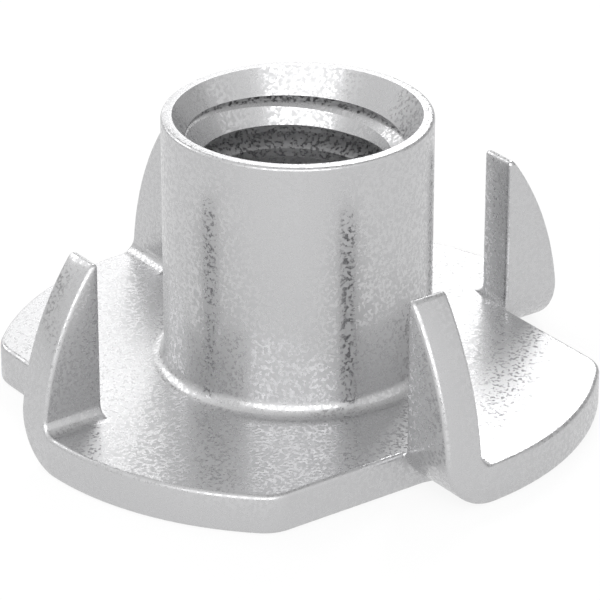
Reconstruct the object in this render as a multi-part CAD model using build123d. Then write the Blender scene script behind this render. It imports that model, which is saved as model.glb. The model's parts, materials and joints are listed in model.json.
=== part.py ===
from build123d import *
import os
from math import pi, radians, sqrt, tan

# Pronged tee nut, one piece of sheet steel, drawn and folded.
#
# A round blank is drawn up into a barrel, which is then threaded. Four tabs
# are cut from the rim of the flange, each by one straight cut, and folded up
# square into prongs that bite into wood. The cut becomes the prong's upright
# edge, and the blank's round rim becomes its curved edge.
#
# Millimetres, +Z up along the barrel, origin at the centre of the flange's
# underside. Each quarter turn holds one prong and one lobe. The first prong
# stands at -Y: its fold runs out along -Y, and it rises on the -X side of it.

# Driving dimensions
flange_diameter = 22.0
sheet = 1.5               # thickness of the flange and of the prongs
height = 11.0             # flange's underside to the mouth of the barrel
thread_major = 8.0
thread_pitch = 1.25
barrel_wall = 0.875       # metal outside the thread's major diameter
mouth_rim = 0.27          # flat ring round the mouth
mouth_bevel = 0.13        # broken outer edge of the mouth
lead_in_angle = 60.0      # full angle of the cone at the mouth
base_fillet = 0.5         # where the barrel rises from the flange
draw_radius = 1.0         # rounded entry under the flange, left by the draw
prong_count = 4
prong_width = 2.5         # at its root, from the straight cut to the rim
tip_flat = 0.27           # width of the blunt tip
bend_radius = 0.5         # inside of each fold
lobe_corner = 1.5         # rounding where a cut meets the rim
edge_bevel = 0.12         # broken edges of the flange and of the prongs
neutral_share = 0.4       # depth of the layer that keeps its length in a fold

# Worked out from them
rim_radius = flange_diameter / 2
barrel_radius = thread_major / 2 + barrel_wall
mouth_radius = barrel_radius - mouth_bevel - mouth_rim
thread_triangle = thread_pitch * sqrt(3) / 2
bore_radius = thread_major / 2 - thread_triangle * 5 / 8
lead_in_depth = (mouth_radius - bore_radius) / tan(radians(lead_in_angle / 2))
cut_offset = rim_radius - prong_width
outer_bend = bend_radius + sheet
fold_start = -bend_radius
fold_length = pi / 2 * (bend_radius + neutral_share * sheet)
fold_end = fold_start + fold_length
prong_arc_level = outer_bend - fold_end
sector = 360 / prong_count

# How the shapes are made
fold_sections = 5         # sections that carry the rim round a fold
spare = 1.0               # how far a cutting shape reaches past what it cuts
same_place = 1e-6         # two points nearer than this are one
join_tolerance = 1e-5     # faces nearer than this are joined


def reach(unfolded, radius):
    """How far out a circle of the flat blank lies, along a fold."""
    return sqrt(radius**2 - unfolded**2)


def barrel_part():
    """The outside of the barrel, with its foot fillet and its mouth bevel."""
    foot = (barrel_radius + base_fillet, sheet)
    wall_start = (barrel_radius, sheet + base_fillet)
    wall_end = (barrel_radius, height - mouth_bevel)
    wall = Polyline(wall_start, wall_end, (barrel_radius - mouth_bevel, height), (0, height), (0, 0),
                    (foot[0], 0), foot)
    foot_arc = RadiusArc(foot, wall_start, base_fillet)
    return revolve(Plane.XZ * make_face(wall + foot_arc), Axis.Z)


def bore_space():
    """What the bore leaves empty: rounded entry, bore and lead-in cone."""
    entry_radius = bore_radius + draw_radius
    cone_spare = spare * tan(radians(lead_in_angle / 2))
    wall = Polyline((bore_radius, draw_radius), (bore_radius, height - lead_in_depth),
                    (mouth_radius + cone_spare, height + spare), (0, height + spare), (0, -spare),
                    (entry_radius, -spare), (entry_radius, 0))
    entry_arc = RadiusArc((entry_radius, 0), (bore_radius, draw_radius), draw_radius)
    return revolve(Plane.XZ * make_face(wall + entry_arc), Axis.Z)


def flange_part():
    """The flat flange: a disc with a window for each prong, its edges broken."""
    window = Pos(-fold_start, -cut_offset) * Rectangle(
        rim_radius + spare, rim_radius + spare, align=(Align.MAX, Align.MAX)
    )
    outline = Circle(rim_radius) - PolarLocations(0, prong_count) * window
    outline = fillet(lobe_corners(outline), lobe_corner)
    plate = extrude(outline, sheet)
    broken = [edge for edge in plate.edges() if is_flange_edge(edge)]
    return chamfer(broken, edge_bevel)


def lobe_corners(outline):
    """The points where a straight cut meets the rim, one in each sector."""
    corner = Vector(-reach(cut_offset, rim_radius), -cut_offset)
    corners = [corner.rotate(Axis.Z, sector * turn) for turn in range(prong_count)]
    return [
        point for point in outline.vertices()
        if any((Vector(point) - place).length < same_place for place in corners)
    ]


def is_flange_edge(edge):
    """True for an edge of the plate's faces that isn't the root of a prong."""
    middle = edge.center()
    upright = abs(middle.Z - sheet / 2) < same_place
    root = Vector(-fold_start, 0)
    for turn in range(prong_count):
        across = root.rotate(Axis.Z, sector * turn)
        beyond_cut = Vector(0, -1).rotate(Axis.Z, sector * turn).dot(middle) > cut_offset
        if beyond_cut and abs(across.dot(middle) - across.length**2) < same_place:
            return False
    return not upright


def fold_section(turn):
    """The sheet across a fold, its corners broken. turn runs from 0 to 1."""
    unfolded = fold_start + fold_length * turn
    rim = reach(unfolded, rim_radius)
    rim_face = reach(unfolded, rim_radius - edge_bevel)
    points = [
        (bend_radius + edge_bevel, cut_offset),
        (outer_bend - edge_bevel, cut_offset),
        (outer_bend, cut_offset + edge_bevel),
        (outer_bend, rim_face),
        (outer_bend - edge_bevel, rim),
        (bend_radius + edge_bevel, rim),
        (bend_radius, rim_face),
        (bend_radius, cut_offset + edge_bevel),
    ]
    plane = Plane(
        origin=(-fold_start, 0, outer_bend),
        x_dir=Vector(0, 0, -1).rotate(Axis.Y, 90 * turn),
        z_dir=Vector(-1, 0, 0).rotate(Axis.Y, 90 * turn),
    )
    return plane * make_face(Polyline(*points, close=True))


def blade_part():
    """The upright of a prong: straight cut edge, blunt tip and curved rim."""
    tip_level = prong_arc_level + reach(cut_offset + tip_flat, rim_radius)
    tab = Pos(cut_offset, outer_bend) * Rectangle(
        rim_radius, tip_level - outer_bend, align=(Align.MIN, Align.MIN)
    )
    outline = tab & Pos(0, prong_arc_level) * Circle(rim_radius)
    upright = Plane(origin=(0, 0, 0), x_dir=(0, -1, 0), z_dir=(-1, 0, 0))
    blade = extrude(upright * outline, sheet)
    broken = [edge for edge in blade.edges() if edge.center().Z > outer_bend + same_place]
    return chamfer(broken, edge_bevel)


def prong_part():
    """One prong, fold and blade."""
    fold = loft([fold_section(i / (fold_sections - 1)) for i in range(fold_sections)])
    return fold.fuse(blade_part(), tol=join_tolerance)


def tee_nut():
    """The whole nut as one solid."""
    prong = prong_part()
    prongs = [Rot(0, 0, sector * turn) * prong for turn in range(prong_count)]
    body = flange_part().fuse(*prongs, tol=join_tolerance)
    return body + barrel_part() - bore_space()


if __name__ == "__main__":
    os.makedirs("parts", exist_ok=True)
    export_step(tee_nut(), "parts/tee_nut.step")
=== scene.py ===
# Pronged tee nut in bright zinc-plated steel: its finished surface with the
# tapped thread, on a white studio floor.
import json
from math import acos, atan2, cos, pi, radians, sin, sqrt, tan

import bmesh
import bpy
from mathutils import Matrix, Vector


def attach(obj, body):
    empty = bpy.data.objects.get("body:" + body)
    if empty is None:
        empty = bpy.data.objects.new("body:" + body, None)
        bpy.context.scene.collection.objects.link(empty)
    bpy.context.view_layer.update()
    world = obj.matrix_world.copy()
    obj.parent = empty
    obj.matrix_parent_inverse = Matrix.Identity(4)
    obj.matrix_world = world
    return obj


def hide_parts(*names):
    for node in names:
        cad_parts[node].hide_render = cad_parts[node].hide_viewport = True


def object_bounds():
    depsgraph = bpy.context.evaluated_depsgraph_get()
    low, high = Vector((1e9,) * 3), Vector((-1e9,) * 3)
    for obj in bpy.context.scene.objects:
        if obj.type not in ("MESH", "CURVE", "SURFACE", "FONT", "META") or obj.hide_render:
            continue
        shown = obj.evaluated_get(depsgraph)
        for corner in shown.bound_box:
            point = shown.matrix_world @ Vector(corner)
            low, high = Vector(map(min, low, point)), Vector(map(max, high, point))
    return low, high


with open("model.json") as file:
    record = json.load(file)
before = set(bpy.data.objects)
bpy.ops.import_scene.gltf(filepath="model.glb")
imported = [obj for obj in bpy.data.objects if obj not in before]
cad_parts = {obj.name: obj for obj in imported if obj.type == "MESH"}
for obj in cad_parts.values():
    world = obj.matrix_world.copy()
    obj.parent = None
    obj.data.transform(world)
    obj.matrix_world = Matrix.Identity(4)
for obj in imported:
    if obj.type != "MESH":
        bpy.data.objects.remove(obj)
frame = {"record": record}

bl_info = {
    "name": "Pronged tee nut",
    "version": (1, 0, 0),
    "blender": (4, 5, 0),
    "location": "View3D > Sidebar > Tee nut",
    "description": "Makes a tapped, four-pronged tee nut and the studio that it is shown in",
    "category": "Object",
}

MM = 0.001
CAD_LOW, CAD_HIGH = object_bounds()
CAD_SIZE = CAD_HIGH - CAD_LOW
MOUNTS = {mount["name"]: mount for mount in frame["record"]["mounts"]}
SEAT_LEVEL = MOUNTS["flange_seat"]["pos_m"][2]
BARREL_RADIUS = MOUNTS["barrel"]["dims"]["r_mm"]
BORE_RADIUS = MOUNTS["thread"]["dims"]["r_mm"]
NODE = "tee_nut"
BODY = "root"

# How finely the curved faces are divided
ROUND_STEPS = 4            # across each rounded edge
CORNER_STEPS = 10          # round each corner of a lobe
RIM_STEP = radians(1.5)    # along the rim
SEAM_STEPS = 11            # round each fold, as far as its seam with the flange goes
FOLD_STEPS = 3             # round the rest of the fold
BLADE_STEPS = 24           # up each prong
FILLET_STEPS = 8           # up the barrel's foot fillet
ENTRY_STEPS = 10           # round the entry under the flange
SECTOR_COLUMNS = 64        # round one sector of the barrel
WELD = 0.0002 * MM         # points nearer than this are one
SHARP_ANGLE = radians(27)  # a crease steeper than this stays crisp
SLIVER = 0.003 * MM**2     # a face smaller than this doesn't bend its neighbours' shading

# The corners of a prong's section, in the order in which Sector.section gives them
INNER_RIM, OUTER_RIM, OUTER_CUT, INNER_CUT = range(4)


def length_size(name, description, millimetres):
    """A size in metres that the sidebar shows as a length."""
    return bpy.props.FloatProperty(
        name=name, description=description, default=millimetres * MM, min=0.0, precision=5,
        unit="LENGTH", subtype="DISTANCE",
    )


def slider(name, description, value):
    """A slider from 0 to 1."""
    return bpy.props.FloatProperty(
        name=name, description=description, default=value, min=0.0, max=1.0, subtype="FACTOR",
    )


class TeeNutSizes(bpy.types.PropertyGroup):
    """The nut's real sizes."""

    flange_diameter: length_size("Flange diameter", "Across the round rim", CAD_SIZE.x / MM)
    height: length_size("Height", "From the flange's underside to the mouth", CAD_SIZE.z / MM)
    sheet: length_size("Sheet", "Thickness of the flange and the prongs", SEAT_LEVEL / MM)
    barrel_radius: length_size("Barrel radius", "Outside of the barrel", BARREL_RADIUS)
    bore_radius: length_size("Bore radius", "Crests of the thread", BORE_RADIUS)
    major_radius: length_size("Thread major radius", "Bottom of the thread's groove", 4.0)
    thread_pitch: length_size("Thread pitch", "Rise of the thread in one turn", 1.25)
    mouth_rim: length_size("Mouth rim", "Width of the flat ring round the mouth", 0.27)
    mouth_round: length_size("Mouth rounding", "Broken outer edge of the mouth", 0.13)
    base_fillet: length_size("Base fillet", "Where the barrel rises from the flange", 0.5)
    draw_radius: length_size("Draw radius", "Rounded entry under the flange", 1.0)
    prong_width: length_size("Prong width", "From the straight cut to the rim, at the root", 2.5)
    tip_flat: length_size("Tip flat", "Width of a prong's blunt tip", 0.27)
    bend_radius: length_size("Bend radius", "Inside of each fold", 0.5)
    lobe_corner: length_size("Lobe corner", "Rounding where a cut meets the rim", 1.5)
    edge_round: length_size("Edge rounding", "Rounded edges of the flange and the prongs", 0.17)
    lead_in: bpy.props.FloatProperty(
        name="Lead-in angle", description="Full angle of the cone at the mouth", default=radians(60),
        subtype="ANGLE",
    )
    prongs: bpy.props.IntProperty(
        name="Prongs", description="Prongs folded up from the rim", default=4, min=3, max=4,
    )


def reach(unfolded, radius):
    """How far out a circle of the flat blank lies, along a fold."""
    return sqrt(radius**2 - unfolded**2)


def polar(radius, angle):
    """The plan point at a radius and an angle from +X."""
    return radius * cos(angle), radius * sin(angle)


def spread(start, end, steps):
    """Evenly spaced values from start to end, both included."""
    return [start + (end - start) * step / steps for step in range(steps + 1)]


def rounding(radius, steps=ROUND_STEPS):
    """Points of a rounded edge, from the flat face to the side, as (inset, drop)."""
    turns = spread(0, pi / 2, steps)
    return [(radius * (1 - sin(turn)), radius * (1 - cos(turn))) for turn in turns]


class Sector:
    """The skin of one sector of the nut: a prong at -Y and half a lobe on either side.

    A prong is a tab of the round blank, so its points are given on the flat
    blank and carried round the fold. The fold begins at x = root and turns
    towards -X.
    """

    neutral_share = 0.4        # depth of the layer that keeps its length in a fold
    fade = 0.12 * MM           # length over which a rounded edge runs out
    blend_share = 0.5          # most of a narrow face that its rounded edge may take
    tip_rim_share = 0.5        # the curved rim's part of the other faces' draw-in round the tip

    def __init__(self, sizes):
        self.sizes = sizes
        self.rim = sizes.flange_diameter / 2
        self.cut = self.rim - sizes.prong_width
        self.outer_bend = sizes.bend_radius + sizes.sheet
        self.root = sizes.bend_radius
        self.fold_start = -self.root
        self.fold_length = pi / 2 * (sizes.bend_radius + self.neutral_share * sizes.sheet)
        self.fold_end = self.fold_start + self.fold_length
        self.tip = reach(self.cut + sizes.tip_flat, self.rim)
        self.seam_turn = acos(sizes.bend_radius / self.outer_bend)
        self.seam_end = self.root - self.outer_bend * sin(self.seam_turn)
        half = pi / sizes.prongs
        self.sides = (-pi / 2 - half, -pi / 2 + half)
        self.shell = bmesh.new()

    def face(self, points):
        """One face through a ring of points."""
        self.shell.faces.new([self.shell.verts.new(point) for point in points])

    def skin(self, rows):
        """Quads between one row of points and the next."""
        for near, far in zip(rows, rows[1:]):
            for a, b, c, d in zip(near, near[1:], far[1:], far):
                self.face([a, b, c, d])

    def mesh(self, name):
        """All of the skin, its double points merged."""
        self.revolved()
        self.flange()
        self.prong()
        bmesh.ops.remove_doubles(self.shell, verts=self.shell.verts, dist=WELD)
        for edge in self.shell.edges:
            edge.smooth = all(face.calc_area() > SLIVER for face in edge.link_faces)
        mesh = bpy.data.meshes.new(name)
        self.shell.to_mesh(mesh)
        self.shell.free()
        return mesh

    def profile(self):
        """The turned outline (radius, height), from the barrel's foot to the underside."""
        s = self.sizes
        foot = [
            (s.barrel_radius + outward, s.sheet + upward)
            for outward, upward in rounding(s.base_fillet, FILLET_STEPS)
        ]
        mouth = [
            (s.barrel_radius - inset, s.height - drop)
            for inset, drop in reversed(rounding(s.mouth_round))
        ]
        cone_radius = s.barrel_radius - s.mouth_round - s.mouth_rim
        cone_depth = (cone_radius - s.bore_radius) / tan(s.lead_in / 2)
        cone = [(cone_radius, s.height), (s.bore_radius, s.height - cone_depth)]
        entry = [
            (s.bore_radius + outward, upward)
            for upward, outward in rounding(s.draw_radius, ENTRY_STEPS)
        ]
        return foot + mouth + cone + entry

    def revolved(self):
        """Barrel, mouth, bore and entry."""
        columns = [
            [(*polar(radius, angle), height) for radius, height in self.profile()]
            for angle in reversed(spread(*self.sides, SECTOR_COLUMNS))
        ]
        self.skin(columns)

    def lobe_before(self):
        """Plan of the wall from the left side to the corner, as functions of the inset."""
        round_radius = self.sizes.lobe_corner
        centre_y = -(self.cut - round_radius)
        centre_x = -reach(centre_y, self.rim - round_radius)
        corner_angle = atan2(centre_y, centre_x)
        arc = self.rim_plans(self.sides[0], corner_angle)
        turns = spread(corner_angle, -pi / 2, CORNER_STEPS)
        corner = [
            lambda inset, turn=turn: tuple(
                Vector((centre_x, centre_y)) + Vector(polar(round_radius - inset, turn))
            )
            for turn in turns
        ]
        return arc[:-1] + corner

    def rim_plans(self, start, end):
        """Plans of the wall along the round rim."""
        angles = spread(start, end, max(1, round(abs(end - start) / RIM_STEP)))
        return [lambda inset, angle=angle: polar(self.rim - inset, angle) for angle in angles]

    def lobe_after(self):
        """Plan of the wall from the prong's root to the right side."""
        root_angle = atan2(-reach(self.root, self.rim), self.root)
        arc = self.rim_plans(root_angle, self.sides[1])
        return [lambda inset: (self.root, -reach(self.root, self.rim - inset))] + arc[1:]

    def cut_plan(self, x):
        """Plan of the wall at one point of the straight cut."""
        return lambda inset: (x, -(self.cut - inset))

    def wall(self, plan, top_round, bottom_round, top):
        """One upright line of the flange's edge, rounded at both ends."""
        upper = [(*plan(inset), top - drop) for inset, drop in rounding(top_round)]
        lower = [(*plan(inset), drop) for inset, drop in reversed(rounding(bottom_round))]
        return upper + lower

    def fading_walls(self):
        """The last of the straight cut, where its upper rounding runs out at the seam."""
        edge = self.sizes.edge_round
        walls = []
        for x in spread(self.seam_end - self.fade, self.seam_end, ROUND_STEPS):
            share = (self.seam_end - x) / self.fade
            walls.append(self.wall(self.cut_plan(x), edge * share, edge, self.sizes.sheet))
        return walls

    def seam_walls(self):
        """The cut's wall under the fold, which meets the prong's cheek along the seam."""
        walls = []
        for turn in reversed(self.fold_turns()):
            if turn < self.seam_turn:
                x = self.root - self.outer_bend * sin(turn)
                top = self.outer_bend * (1 - cos(turn))
                low_round = min(self.sizes.edge_round, top * self.blend_share)
                walls.append(self.wall(self.cut_plan(x), 0, low_round, top))
        return walls

    def ring(self, radius, height):
        """The sector's stretch of a level circle."""
        angles = reversed(spread(*self.sides, SECTOR_COLUMNS))
        return [(*polar(radius, angle), height) for angle in angles]

    def flange(self):
        """The flange's edge on either side of the prong's root, its upper face and its underside."""
        s = self.sizes
        edge = s.edge_round
        lobe = [self.wall(plan, edge, edge, s.sheet) for plan in self.lobe_before()]
        lobe += self.fading_walls()
        before = lobe + self.seam_walls()
        after = [self.wall(plan, edge, edge, s.sheet) for plan in self.lobe_after()]
        self.skin(before)
        self.skin(after)
        root_corner = (self.root, -self.cut, s.sheet)
        top = [line[0] for line in lobe] + [root_corner] + [line[0] for line in after]
        bottom = [line[-1] for line in before + after]
        self.face(top + self.ring(s.barrel_radius + s.base_fillet, s.sheet))
        self.face(list(reversed(bottom + self.ring(s.bore_radius + s.draw_radius, 0))))

    def fold_turns(self):
        """Angles round a fold, the end of its seam with the flange among them."""
        below = spread(0, self.seam_turn, SEAM_STEPS)
        above = spread(self.seam_turn, pi / 2, FOLD_STEPS)
        return below[:-1] + above

    def on_sheet(self, unfolded, depth, outward):
        """Carries a point of the flat blank round the fold and up the prong."""
        if unfolded >= self.fold_end:
            return -depth, -outward, self.outer_bend + unfolded - self.fold_end
        turn = (unfolded - self.fold_start) / self.fold_length * pi / 2
        bend = self.sizes.bend_radius + depth
        return self.root - bend * sin(turn), -outward, self.outer_bend - bend * cos(turn)

    def section(self, unfolded, inner_cut_round, outer_cut_round, shrink=0):
        """The prong's section, as the points of its four rounded corners.

        shrink is how far its faces draw in round the tip.
        """
        sheet = self.sizes.sheet
        rim = self.rim - shrink * self.tip_rim_share
        cut = self.cut + shrink
        inner_rim = [
            (shrink + drop, reach(unfolded, rim - inset))
            for inset, drop in rounding(self.sizes.edge_round - shrink)
        ]
        outer_rim = [(sheet - depth, outward) for depth, outward in reversed(inner_rim)]
        outer_cut = [(sheet - shrink - drop, cut + inset) for inset, drop in rounding(outer_cut_round)]
        inner_cut = [(shrink + drop, cut + inset) for inset, drop in reversed(rounding(inner_cut_round))]
        return [
            [self.on_sheet(unfolded, depth, outward) for depth, outward in corner]
            for corner in (inner_rim, outer_rim, outer_cut, inner_cut)
        ]

    def prong(self):
        """The fold, the upright blade and its blunt tip."""
        edge = self.sizes.edge_round
        fold = []
        for turn in self.fold_turns()[:-1]:
            unfolded = self.fold_start + self.fold_length * turn / (pi / 2)
            inner_room = self.sizes.bend_radius * (1 / cos(turn) - 1)
            outer_room = max(0, turn - self.seam_turn) * self.outer_bend
            inner_round = min(edge, inner_room * self.blend_share)
            outer_round = min(edge, outer_room * self.blend_share)
            fold.append(self.section(unfolded, inner_round, outer_round))
        blade = [
            self.section(unfolded, edge, edge)
            for unfolded in spread(self.fold_end, self.tip - edge, BLADE_STEPS)
        ]
        point = [
            self.section(self.tip - below, edge - shrink, edge - shrink, shrink)
            for below, shrink in rounding(edge)[1:]
        ]
        self.cut_cheek(fold + blade[:1])
        upright = list(reversed(blade + point))
        sections = upright + list(reversed(fold))
        self.skin([self.rim_half(corners) for corners in sections])
        self.skin([corners[OUTER_CUT] for corners in sections])
        self.skin([corners[INNER_CUT] + corners[INNER_RIM][:1] for corners in sections])
        self.skin([[corners[OUTER_CUT][-1], corners[INNER_CUT][0]] for corners in upright])
        self.face([place for corner in reversed(point[-1]) for place in reversed(corner)])

    def rim_half(self, corners):
        """Both rim corners and the outer face, up to the cut's corner."""
        return corners[INNER_RIM] + corners[OUTER_RIM] + corners[OUTER_CUT][:1]

    def cut_cheek(self, sections):
        """The flat cheek of the fold, above the flange."""
        inner = [corners[INNER_CUT][0] for corners in sections]
        outer = [corners[OUTER_CUT][-1] for corners in sections]
        above = [place for place in outer if place[2] > self.sizes.sheet - WELD]
        self.face(above + list(reversed(inner)))


def hex_colour(text):
    """An sRGB hex colour as linear RGBA, by the standard's own curve."""
    values = [int(text[place:place + 2], 16) / 255 for place in (1, 3, 5)]
    linear = [
        value / 12.92 if value <= 0.04045 else ((value + 0.055) / 1.055) ** 2.4
        for value in values
    ]
    return (*linear, 1.0)


class TeeNutFinish(bpy.types.PropertyGroup):
    """The plating's colour and grain."""

    zinc: bpy.props.FloatVectorProperty(
        name="Zinc", description="Reflected colour of the plating", size=4, subtype="COLOR",
        default=hex_colour("#C2C2C3"), min=0.0, max=1.0,
    )
    satin: slider("Satin", "How far the plating spreads a reflection", 0.50)
    glossy: slider("Glossy", "How far its smooth crystals spread a reflection", 0.16)
    satin_up_to: slider("Satin up to", "Height of the grain up to which it is satin", 0.44)
    glossy_from: slider("Glossy from", "Height of the grain from which it is glossy", 0.60)
    grain: length_size("Grain", "Width of one patch of crystals", 0.14)
    fineness: bpy.props.FloatProperty(
        name="Fineness", description="How many times the patches are divided finer",
        default=2.5, min=0.0,
    )
    raggedness: slider("Raggedness", "How strongly the finer grain breaks up a patch's edge", 0.6)


class TeeNutStudio(bpy.types.PropertyGroup):
    """Camera and light."""

    lens: bpy.props.FloatProperty(
        name="Lens", description="Focal length for a 36 mm wide sensor", default=234.5,
    )
    distance: length_size("Distance", "From the camera to the point that it looks at", 141.743)
    aim_height: length_size("Aim height", "Height on the axis that the camera looks at", 3.642)
    aim_side: length_size("Aim side", "How far right of the axis the camera looks", 0.082)
    azimuth: bpy.props.FloatProperty(
        name="Azimuth", description="Direction of the camera round the nut",
        default=radians(-35.7012), subtype="ANGLE",
    )
    elevation: bpy.props.FloatProperty(
        name="Elevation", description="Height of the camera above the horizon",
        default=radians(25.7935), subtype="ANGLE",
    )
    room: bpy.props.FloatProperty(
        name="Room", description="Brightness of the room, where 1 is white", default=0.58,
    )
    softboxes: bpy.props.FloatProperty(
        name="Softboxes", description="Brightness of all the softboxes, as a share of their own",
        default=1.0,
    )
    floor_glow: bpy.props.FloatProperty(
        name="Floor glow", description="Whiteness of the floor where no light falls on it",
        default=0.83,
    )


def add(tree, kind, settings, inputs):
    """A node with its settings, and its inputs set to values or linked to other nodes' sockets."""
    node = tree.nodes.new(kind)
    for name, value in settings.items():
        setattr(node, name, value)
    for name, value in inputs.items():
        if isinstance(value, bpy.types.NodeSocket):
            tree.links.new(value, node.inputs[name])
        else:
            node.inputs[name].default_value = value
    return node


def zinc_plated_steel(finish):
    """Bright zinc, plated from a bath on to rolled steel.

    The eye gets a pale, neutral grey that turns white where it mirrors a
    light. The deposit is satin, so a reflection is wide and soft. Its larger
    crystals are smooth and mirror sharply, so they stand out as dark specks
    round the edge of a light's reflection and as bright ones beside it. They
    are drawn at their real size, which is why there is no bump.
    """
    material = bpy.data.materials.new("zinc_plated_steel_bright")
    material.use_nodes = True
    tree = material.node_tree
    tree.nodes.clear()
    place = add(tree, "ShaderNodeTexCoord", {}, {})
    crystals = add(tree, "ShaderNodeTexNoise", {}, {
        "Vector": place.outputs["Object"], "Scale": 1 / finish.grain,
        "Detail": finish.fineness, "Roughness": finish.raggedness,
    })
    gloss = add(tree, "ShaderNodeMapRange", {}, {
        "Value": crystals.outputs["Fac"],
        "From Min": finish.satin_up_to, "From Max": finish.glossy_from,
        "To Min": finish.satin, "To Max": finish.glossy,
    })
    shader = add(tree, "ShaderNodeBsdfPrincipled", {}, {
        "Base Color": finish.zinc, "Metallic": 1.0, "Roughness": gloss.outputs["Result"],
    })
    add(tree, "ShaderNodeOutputMaterial", {}, {"Surface": shader.outputs["BSDF"]})
    return material


def new_tree(name, inputs):
    """A geometry tree with a geometry in and out, and its named inputs."""
    tree = bpy.data.node_groups.new(name, "GeometryNodeTree")
    tree.interface.new_socket("Geometry", in_out="INPUT", socket_type="NodeSocketGeometry")
    for label, kind in inputs.items():
        tree.interface.new_socket(label, in_out="INPUT", socket_type=kind)
    tree.interface.new_socket("Geometry", in_out="OUTPUT", socket_type="NodeSocketGeometry")
    return tree, add(tree, "NodeGroupInput", {}, {}).outputs


def run_tree(piece, tree, values):
    """Puts a tree on a piece and sets its inputs by their identifiers."""
    modifier = piece.modifiers.new(tree.name, "NODES")
    modifier.node_group = tree
    for item in tree.interface.items_tree:
        if item.in_out == "INPUT" and item.name in values:
            modifier[item.identifier] = values[item.name]


def end_tree(tree, geometry, material):
    """Ends a tree in real geometry, in its material."""
    real = add(tree, "GeometryNodeRealizeInstances", {}, {"Geometry": geometry})
    finished = add(tree, "GeometryNodeSetMaterial", {}, {
        "Geometry": real.outputs[0], "Material": material,
    })
    add(tree, "NodeGroupOutput", {}, {"Geometry": finished.outputs[0]})


def sector_turns():
    """Repeats a sector round the axis."""
    tree, given = new_tree("Sector turns", {
        "Count": "NodeSocketInt",
        "Material": "NodeSocketMaterial",
    })
    points = add(tree, "GeometryNodePoints", {}, {"Count": given["Count"]})
    index = add(tree, "GeometryNodeInputIndex", {}, {})
    angle = add(tree, "ShaderNodeMath", {"operation": "DIVIDE"}, {0: 2 * pi, 1: given["Count"]})
    turn = add(tree, "ShaderNodeMath", {"operation": "MULTIPLY"}, {
        0: index.outputs[0], 1: angle.outputs[0],
    })
    turned = add(tree, "ShaderNodeCombineXYZ", {}, {"Z": turn.outputs[0]})
    rotation = add(tree, "FunctionNodeEulerToRotation", {}, {0: turned.outputs[0]})
    copies = add(tree, "GeometryNodeInstanceOnPoints", {}, {
        "Points": points.outputs[0], "Instance": given["Geometry"], "Rotation": rotation.outputs[0],
    })
    end_tree(tree, copies.outputs[0], given["Material"])
    return tree


def tapped_thread():
    """Welds the sectors, cuts a helical groove as a tap does, and keeps its edges crisp."""
    tree, given = new_tree("Tapped thread", {
        "Weld": "NodeSocketFloat",
        "Major radius": "NodeSocketFloat",
        "Inner radius": "NodeSocketFloat",
        "Root half width": "NodeSocketFloat",
        "Open half width": "NodeSocketFloat",
        "Turns": "NodeSocketFloat",
        "Steps per turn": "NodeSocketInt",
        "Rise": "NodeSocketFloat",
        "Start": "NodeSocketVector",
        "Start turn": "NodeSocketVector",
        "Sharp angle": "NodeSocketFloat",
        "Material": "NodeSocketMaterial",
    })
    helix = add(tree, "GeometryNodeCurveSpiral", {}, {
        "Resolution": given["Steps per turn"], "Rotations": given["Turns"], "Height": given["Rise"],
        "Start Radius": given["Inner radius"], "End Radius": given["Inner radius"], "Reverse": True,
    })
    turned = add(tree, "FunctionNodeEulerToRotation", {}, {0: given["Start turn"]})
    placed = add(tree, "GeometryNodeTransform", {}, {
        "Geometry": helix.outputs[0], "Translation": given["Start"], "Rotation": turned.outputs[0],
    })
    upright = add(tree, "GeometryNodeSetCurveNormal", {"mode": "Z_UP"}, {"Curve": placed.outputs[0]})
    depth = add(tree, "ShaderNodeMath", {"operation": "SUBTRACT"}, {
        0: given["Major radius"], 1: given["Inner radius"],
    })
    root_low = add(tree, "ShaderNodeMath", {"operation": "MULTIPLY"}, {
        0: given["Root half width"], 1: -1.0,
    })
    open_low = add(tree, "ShaderNodeMath", {"operation": "MULTIPLY"}, {
        0: given["Open half width"], 1: -1.0,
    })
    # The groove's corners: how far each lies out from the helix, and along the axis
    corners = {
        "Point 1": (None, open_low.outputs[0]),
        "Point 2": (depth.outputs[0], root_low.outputs[0]),
        "Point 3": (depth.outputs[0], given["Root half width"]),
        "Point 4": (None, given["Open half width"]),
    }
    profile = add(tree, "GeometryNodeCurvePrimitiveQuadrilateral", {"mode": "POINTS"}, {
        name: add(tree, "ShaderNodeCombineXYZ", {}, {"X": out or 0.0, "Y": along}).outputs[0]
        for name, (out, along) in corners.items()
    })
    tap = add(tree, "GeometryNodeCurveToMesh", {}, {
        "Curve": upright.outputs[0], "Profile Curve": profile.outputs[0], "Fill Caps": True,
    })
    blank = add(tree, "GeometryNodeMergeByDistance", {}, {
        "Geometry": given["Geometry"], "Distance": given["Weld"],
    })
    cut = add(tree, "GeometryNodeMeshBoolean", {"operation": "DIFFERENCE", "solver": "EXACT"}, {
        "Mesh 1": blank.outputs[0], "Mesh 2": tap.outputs[0],
    })
    clean = add(tree, "GeometryNodeMergeByDistance", {}, {
        "Geometry": cut.outputs[0], "Distance": given["Weld"],
    })
    smooth = add(tree, "GeometryNodeSetShadeSmooth", {"domain": "FACE"}, {
        "Geometry": clean.outputs[0],
    })
    angle = add(tree, "GeometryNodeInputMeshEdgeAngle", {}, {})
    steep = add(tree, "FunctionNodeCompare", {"data_type": "FLOAT", "operation": "GREATER_THAN"}, {
        0: angle.outputs["Unsigned Angle"], 1: given["Sharp angle"],
    })
    sharp = add(tree, "FunctionNodeBooleanMath", {"operation": "OR"}, {
        0: steep.outputs[0], 1: cut.outputs["Intersecting Edges"],
    })
    creased = add(tree, "GeometryNodeSetShadeSmooth", {"domain": "EDGE"}, {
        "Geometry": smooth.outputs[0], "Selection": sharp.outputs[0], "Shade Smooth": False,
    })
    end_tree(tree, creased.outputs[0], given["Material"])
    return tree


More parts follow.
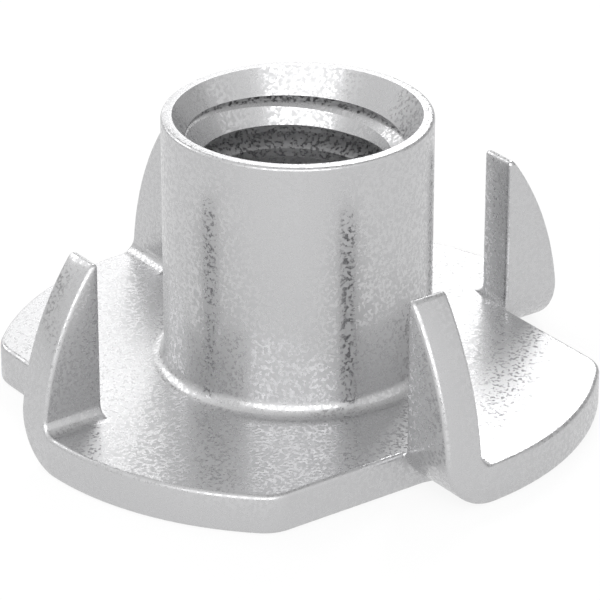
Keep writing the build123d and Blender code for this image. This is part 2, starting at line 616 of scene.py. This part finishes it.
def plain_mesh(piece):
    """Turns the result of a piece's modifiers into its own mesh."""
    evaluated = piece.evaluated_get(bpy.context.evaluated_depsgraph_get())
    mesh = bpy.data.meshes.new_from_object(evaluated)
    piece.modifiers.clear()
    piece.data = mesh


class TEENUT_OT_body(bpy.types.Operator):
    """Make the tee nut: one pressed and folded sheet with a tapped barrel"""

    bl_idname = "teenut.body"
    bl_label = "Make tee nut"

    steps_per_turn = 180           # along the thread's groove
    root_share = 1 / 16            # half the flat at the groove's root, in pitches
    flank_angle = radians(30)      # half the angle of a metric thread
    thread_start = -2.0 * MM       # below the flange's underside
    thread_end = 12.5 * MM         # above the mouth
    tap_overlap = 0.2 * MM         # how far the tap's groove starts inside the bore
    phase_angle = radians(54.3)    # where the groove's middle is at phase_height
    phase_height = 9.906 * MM

    def execute(self, context):
        sizes = context.scene.tee_nut_sizes
        mesh = Sector(sizes).mesh("tee_nut_sector")
        piece = bpy.data.objects.new("tee_nut_body", mesh)
        context.scene.collection.objects.link(piece)
        plating = zinc_plated_steel(context.scene.tee_nut_finish)
        run_tree(piece, sector_turns(), {"Count": sizes.prongs, "Material": plating})
        run_tree(piece, tapped_thread(), self.thread_inputs(sizes, plating))
        weighted = piece.modifiers.new("weighted_normals", "WEIGHTED_NORMAL")
        weighted.keep_sharp = True
        plain_mesh(piece)
        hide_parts(NODE)
        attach(piece, BODY)
        return {"FINISHED"}

    def thread_inputs(self, sizes, plating):
        """The tap's groove, and a helix that runs out beyond both ends of the bore."""
        inner = sizes.bore_radius - self.tap_overlap
        root_half = sizes.thread_pitch * self.root_share
        flank_rise = (sizes.major_radius - inner) * tan(self.flank_angle)
        rise = self.thread_end - self.thread_start
        turns_before = (self.thread_start - self.phase_height) / sizes.thread_pitch
        start_angle = self.phase_angle + turns_before * 2 * pi
        return {
            "Weld": WELD,
            "Major radius": sizes.major_radius,
            "Inner radius": inner,
            "Root half width": root_half,
            "Open half width": root_half + flank_rise,
            "Turns": rise / sizes.thread_pitch,
            "Steps per turn": self.steps_per_turn,
            "Rise": rise,
            "Start": (0.0, 0.0, self.thread_start),
            "Start turn": (0.0, 0.0, start_angle),
            "Sharp angle": SHARP_ANGLE,
            "Material": plating,
        }


class Softbox:
    """A rectangular light that faces the nut, placed by its direction as the camera sees it.

    azimuth is 0 behind the nut, and grows to the right. The half angles are
    what the light spans, seen from the nut. brightness is what it adds to a
    reflection, where 1 is white.
    """

    distance = 0.7    # metres from the nut

    def __init__(self, name, brightness, azimuth, elevation, half_width, half_height):
        self.name = "softbox_" + name
        self.brightness = brightness
        self.azimuth = radians(azimuth)
        self.elevation = radians(elevation)
        self.width = 2 * self.distance * tan(radians(half_width))
        self.height = 2 * self.distance * tan(radians(half_height))

    def place(self, scene, strength, camera_turn):
        """Puts the light into the scene. Its power is what gives its face that brightness."""
        data = bpy.data.lights.new(self.name, "AREA")
        data.shape = "RECTANGLE"
        data.size = self.width
        data.size_y = self.height
        data.energy = strength * self.brightness * pi * self.width * self.height
        level = cos(self.elevation)
        seen = Vector((level * sin(self.azimuth), level * cos(self.azimuth), sin(self.elevation)))
        direction = camera_turn @ seen
        lamp = bpy.data.objects.new(self.name, data)
        lamp.location = direction * self.distance
        lamp.rotation_mode = "QUATERNION"
        lamp.rotation_quaternion = (-direction).to_track_quat("-Z", "Y")
        scene.collection.objects.link(lamp)


class TEENUT_OT_studio(bpy.types.Operator):
    """Set up the floor, the soft lights and the camera"""

    bl_idname = "teenut.studio"
    bl_label = "Set up studio"

    sensor_width = 36.0            # millimetres, as the camera counts them
    near_clip = 10 * MM            # well in front of the nut
    white = hex_colour("#FFFFFF")
    floor_half = 0.4               # half the side of the floor
    floor_level = -0.01 * MM       # clear of the nut's underside, which would flicker with it
    floor_paper = "#E6E6E6"        # what the floor throws back on to the nut
    floor_white = "#707070"        # the share of the seen floor that takes the shadow
    softboxes = (
        Softbox("front", brightness=1.95, azimuth=-175, elevation=26, half_width=33, half_height=20),
        Softbox("behind", brightness=8.2, azimuth=13, elevation=40, half_width=7, half_height=10),
        Softbox("behind_left", brightness=2.4, azimuth=1, elevation=40, half_width=5, half_height=10),
        Softbox("left", brightness=1.9, azimuth=-51, elevation=31, half_width=15, half_height=15),
        Softbox("low", brightness=1.15, azimuth=-12, elevation=14, half_width=16, half_height=13),
        Softbox("right", brightness=0.45, azimuth=125, elevation=26, half_width=40, half_height=26),
        Softbox("side", brightness=0.38, azimuth=-112, elevation=48, half_width=42, half_height=42),
    )

    def execute(self, context):
        scene = context.scene
        scene.view_settings.view_transform = "Standard"
        studio = scene.tee_nut_studio
        turn = Matrix.Rotation(studio.azimuth, 3, "Z")
        self.camera(scene, studio, turn)
        self.world(scene, studio)
        self.floor(scene, studio)
        for softbox in self.softboxes:
            softbox.place(scene, studio.softboxes, turn)
        return {"FINISHED"}

    def camera(self, scene, studio, turn):
        """The camera, aimed beside a point of the nut's axis."""
        forward = turn @ Vector((0, cos(studio.elevation), -sin(studio.elevation)))
        aim = turn @ Vector((studio.aim_side, 0, studio.aim_height))
        data = bpy.data.cameras.new("camera")
        data.lens = studio.lens
        data.sensor_width = self.sensor_width
        data.clip_start = self.near_clip
        camera = bpy.data.objects.new("camera", data)
        camera.location = aim - forward * studio.distance
        camera.rotation_mode = "QUATERNION"
        camera.rotation_quaternion = forward.to_track_quat("-Z", "Y")
        scene.collection.objects.link(camera)
        scene.camera = camera

    def world(self, scene, studio):
        """The pale room round the floor."""
        world = bpy.data.worlds.new("studio_room")
        world.use_nodes = True
        tree = world.node_tree
        tree.nodes.clear()
        light = add(tree, "ShaderNodeBackground", {}, {
            "Strength": studio.room, "Color": self.white,
        })
        add(tree, "ShaderNodeOutputWorld", {}, {"Surface": light.outputs[0]})
        scene.world = world

    def floor(self, scene, studio):
        """The square sheet of paper under the nut."""
        half = self.floor_half
        data = bpy.data.meshes.new("floor")
        signs = ((-1, -1), (1, -1), (1, 1), (-1, 1))
        corners = [(x * half, y * half, self.floor_level) for x, y in signs]
        data.from_pydata(corners, [], [range(len(corners))])
        data.materials.append(self.white_paper(studio))
        floor = bpy.data.objects.new("floor", data)
        scene.collection.objects.link(floor)

    def white_paper(self, studio):
        """Matt white background paper.

        The eye sees it white with a faint shadow, and so does the metal that
        mirrors it. To all other light it is plain, pale paper.
        """
        material = bpy.data.materials.new("white_background_paper_matt")
        material.use_nodes = True
        tree = material.node_tree
        tree.nodes.clear()
        path = add(tree, "ShaderNodeLightPath", {}, {})
        reflected = add(tree, "ShaderNodeMath", {"operation": "MAXIMUM"}, {
            0: path.outputs["Is Glossy Ray"], 1: path.outputs["Is Transmission Ray"],
        })
        seen = add(tree, "ShaderNodeMath", {"operation": "MAXIMUM"}, {
            0: path.outputs["Is Camera Ray"], 1: reflected.outputs[0],
        })
        glow = add(tree, "ShaderNodeEmission", {}, {
            "Color": self.white, "Strength": studio.floor_glow,
        })
        shaded = add(tree, "ShaderNodeBsdfDiffuse", {}, {"Color": hex_colour(self.floor_white)})
        white = add(tree, "ShaderNodeAddShader", {}, {0: glow.outputs[0], 1: shaded.outputs[0]})
        paper = add(tree, "ShaderNodeBsdfDiffuse", {}, {"Color": hex_colour(self.floor_paper)})
        mixed = add(tree, "ShaderNodeMixShader", {}, {
            0: seen.outputs[0], 1: paper.outputs[0], 2: white.outputs[0],
        })
        add(tree, "ShaderNodeOutputMaterial", {}, {"Surface": mixed.outputs[0]})
        return material


class TEENUT_PT_panel(bpy.types.Panel):
    """Sizes, finish and studio of the tee nut"""

    bl_idname = "TEENUT_PT_panel"
    bl_label = "Tee nut"
    bl_space_type = "VIEW_3D"
    bl_region_type = "UI"
    bl_category = "Tee nut"

    def draw(self, context):
        for title, (settings_name, group) in GROUPS.items():
            box = self.layout.box()
            box.label(text=title)
            settings = getattr(context.scene, settings_name)
            for name in group.__annotations__:
                box.prop(settings, name)
        for operator in OPERATORS:
            self.layout.operator(operator.bl_idname)


GROUPS = {
    "Sizes": ("tee_nut_sizes", TeeNutSizes),
    "Finish": ("tee_nut_finish", TeeNutFinish),
    "Studio": ("tee_nut_studio", TeeNutStudio),
}
OPERATORS = (TEENUT_OT_body, TEENUT_OT_studio)


def register():
    for name, group in GROUPS.values():
        bpy.utils.register_class(group)
        setattr(bpy.types.Scene, name, bpy.props.PointerProperty(type=group))
    for operator in OPERATORS:
        bpy.utils.register_class(operator)
    bpy.utils.register_class(TEENUT_PT_panel)


def unregister():
    bpy.utils.unregister_class(TEENUT_PT_panel)
    for operator in reversed(OPERATORS):
        bpy.utils.unregister_class(operator)
    for name, group in reversed(GROUPS.values()):
        delattr(bpy.types.Scene, name)
        bpy.utils.unregister_class(group)


def main():
    register()
    bpy.ops.teenut.body()
    bpy.ops.teenut.studio()


if __name__ == "__main__":
    main()
